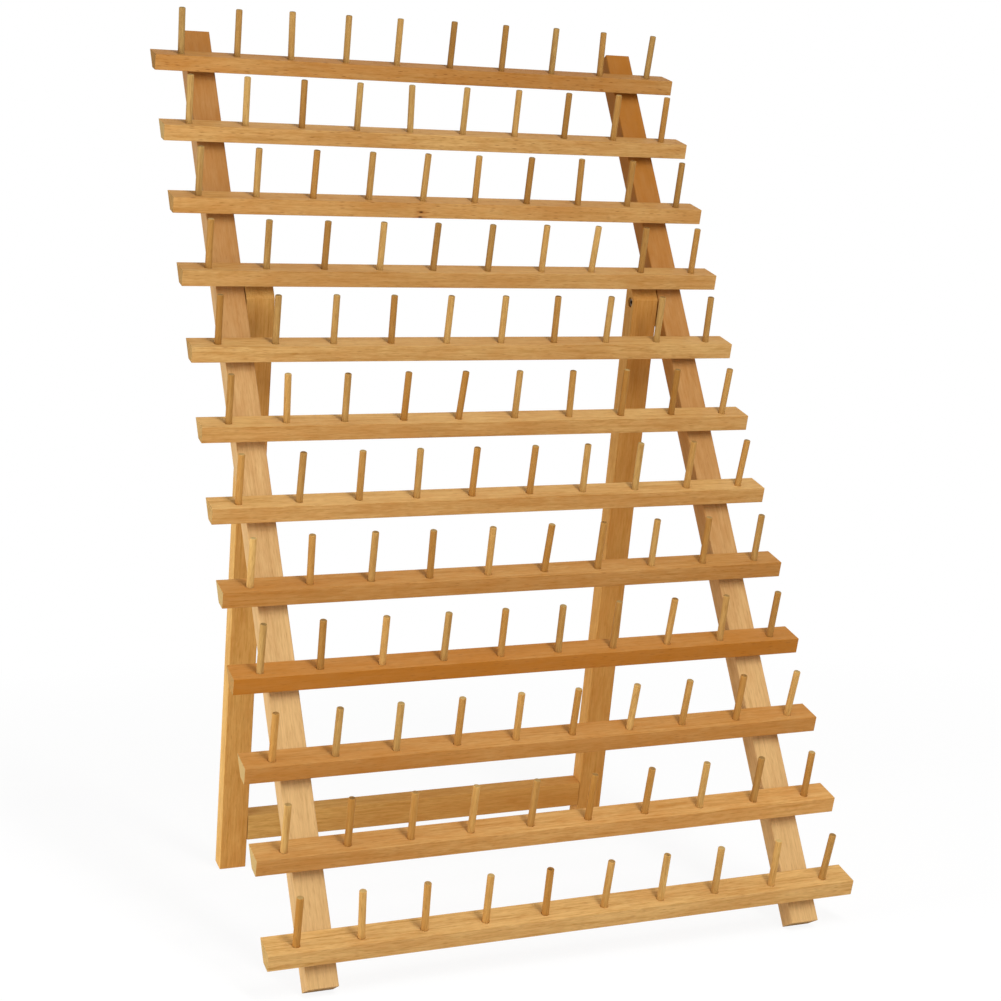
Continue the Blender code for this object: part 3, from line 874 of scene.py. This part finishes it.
def buildFloor():
    bm = bmesh.new()
    bmesh.ops.create_grid(bm, x_segments=1, y_segments=1, size=studioLook["floorSize"])
    material, tree = newMaterial("studioPaper")
    path = addNode(tree, "ShaderNodeLightPath")
    white = hexColour(studioLook["floorWhite"])
    lit = addNode(tree, "ShaderNodeBsdfDiffuse", {"Color": white, "Roughness": 1.0})
    glow = addNode(tree, "ShaderNodeEmission", {"Color": (1, 1, 1, 1), "Strength": 1.0})
    seen = addNode(tree, "ShaderNodeMath", {"operation": "ADD", "use_clamp": True},
                   {0: path.outputs["Is Camera Ray"], 1: path.outputs["Is Glossy Ray"]})
    place = addNode(tree, "ShaderNodeTexCoord")
    away = addNode(tree, "ShaderNodeVectorMath", {"operation": "LENGTH"}, {0: place.outputs["Object"]})
    near, far = studioLook["glowFrom"]
    glowing = addNode(tree, "ShaderNodeMapRange", {1: near, 2: far, 3: studioLook["floorGlow"], 4: 1.0},
                      {0: away.outputs["Value"]})
    share = addNode(tree, "ShaderNodeMath", {"operation": "MULTIPLY"},
                    {0: seen, 1: glowing})
    mixed = addNode(tree, "ShaderNodeMixShader", {}, {0: share, 1: lit, 2: glow})
    addNode(tree, "ShaderNodeOutputMaterial", {}, {0: mixed})
    mesh = meshFrom(bm, "studioFloor")
    mesh.materials.append(material)
    floor = bpy.data.objects.new("studioFloor", mesh)
    bpy.context.scene.collection.objects.link(floor)


def buildWorld():
    world = bpy.data.worlds.new("studioWorld")
    bpy.context.scene.world = world
    world.use_nodes = True
    tree = world.node_tree
    tree.nodes.clear()
    path = addNode(tree, "ShaderNodeLightPath")
    rays = addNode(tree, "ShaderNodeMath", {"operation": "ADD", "use_clamp": True},
                   {0: path.outputs["Is Camera Ray"], 1: path.outputs["Is Glossy Ray"]})
    rays = addNode(tree, "ShaderNodeMath", {"operation": "ADD", "use_clamp": True},
                   {0: rays, 1: path.outputs["Is Transmission Ray"]})
    strength = addNode(tree, "ShaderNodeMix", {"data_type": "FLOAT", 2: studioLook["ambient"], 3: 1.0},
                       {0: rays})
    sky = addNode(tree, "ShaderNodeBackground", {"Color": (1, 1, 1, 1)}, {1: strength})
    addNode(tree, "ShaderNodeOutputWorld", {}, {0: sky})


def addSoftbox(name):
    setup = studioLook[name]
    light = bpy.data.lights.new(name, "AREA")
    light.shape = "RECTANGLE"
    light.size, light.size_y = setup["size"]
    light.energy = setup["watts"]
    lamp = bpy.data.objects.new(name, light)
    bpy.context.scene.collection.objects.link(lamp)
    place = Vector(setup["place"])
    aim = Vector(studioLook["aim"]) - place
    lamp.matrix_world = Matrix.Translation(place) @ aim.to_track_quat("-Z", "Y").to_matrix().to_4x4()


# The camera stands where the photograph was taken from, worked out from the strips' corners.
cameraSetup = {
    "place": (-0.67701, -1.71182, 0.53984),
    "yaw": 22.087,               # degrees to the right of straight on
    "pitch": 4.413,              # degrees down
    "roll": -0.4248,
    "lens": 67.69,
    "sensor": 36.0,
}


def buildCamera():
    lens = bpy.data.cameras.new("photoCamera")
    lens.sensor_width = cameraSetup["sensor"]
    lens.lens = cameraSetup["lens"]
    lens.clip_start = 0.05
    lens.clip_end = 60.0
    camera = bpy.data.objects.new("photoCamera", lens)
    bpy.context.scene.collection.objects.link(camera)
    yaw, pitch, roll = (math.radians(cameraSetup[turn]) for turn in ("yaw", "pitch", "roll"))
    camera.matrix_world = (Matrix.Translation(cameraSetup["place"]) @ Matrix.Rotation(-yaw, 4, "Z")
                           @ Matrix.Rotation(quarterTurn - pitch, 4, "X") @ Matrix.Rotation(roll, 4, "Z"))
    bpy.context.scene.camera = camera


buildFloor()
buildWorld()
for softbox in ("keyStrip", "overStrip", "leftFill", "rightFill"):
    addSoftbox(softbox)
buildCamera()
bpy.context.scene.view_settings.view_transform = "Standard"
print("studio made")
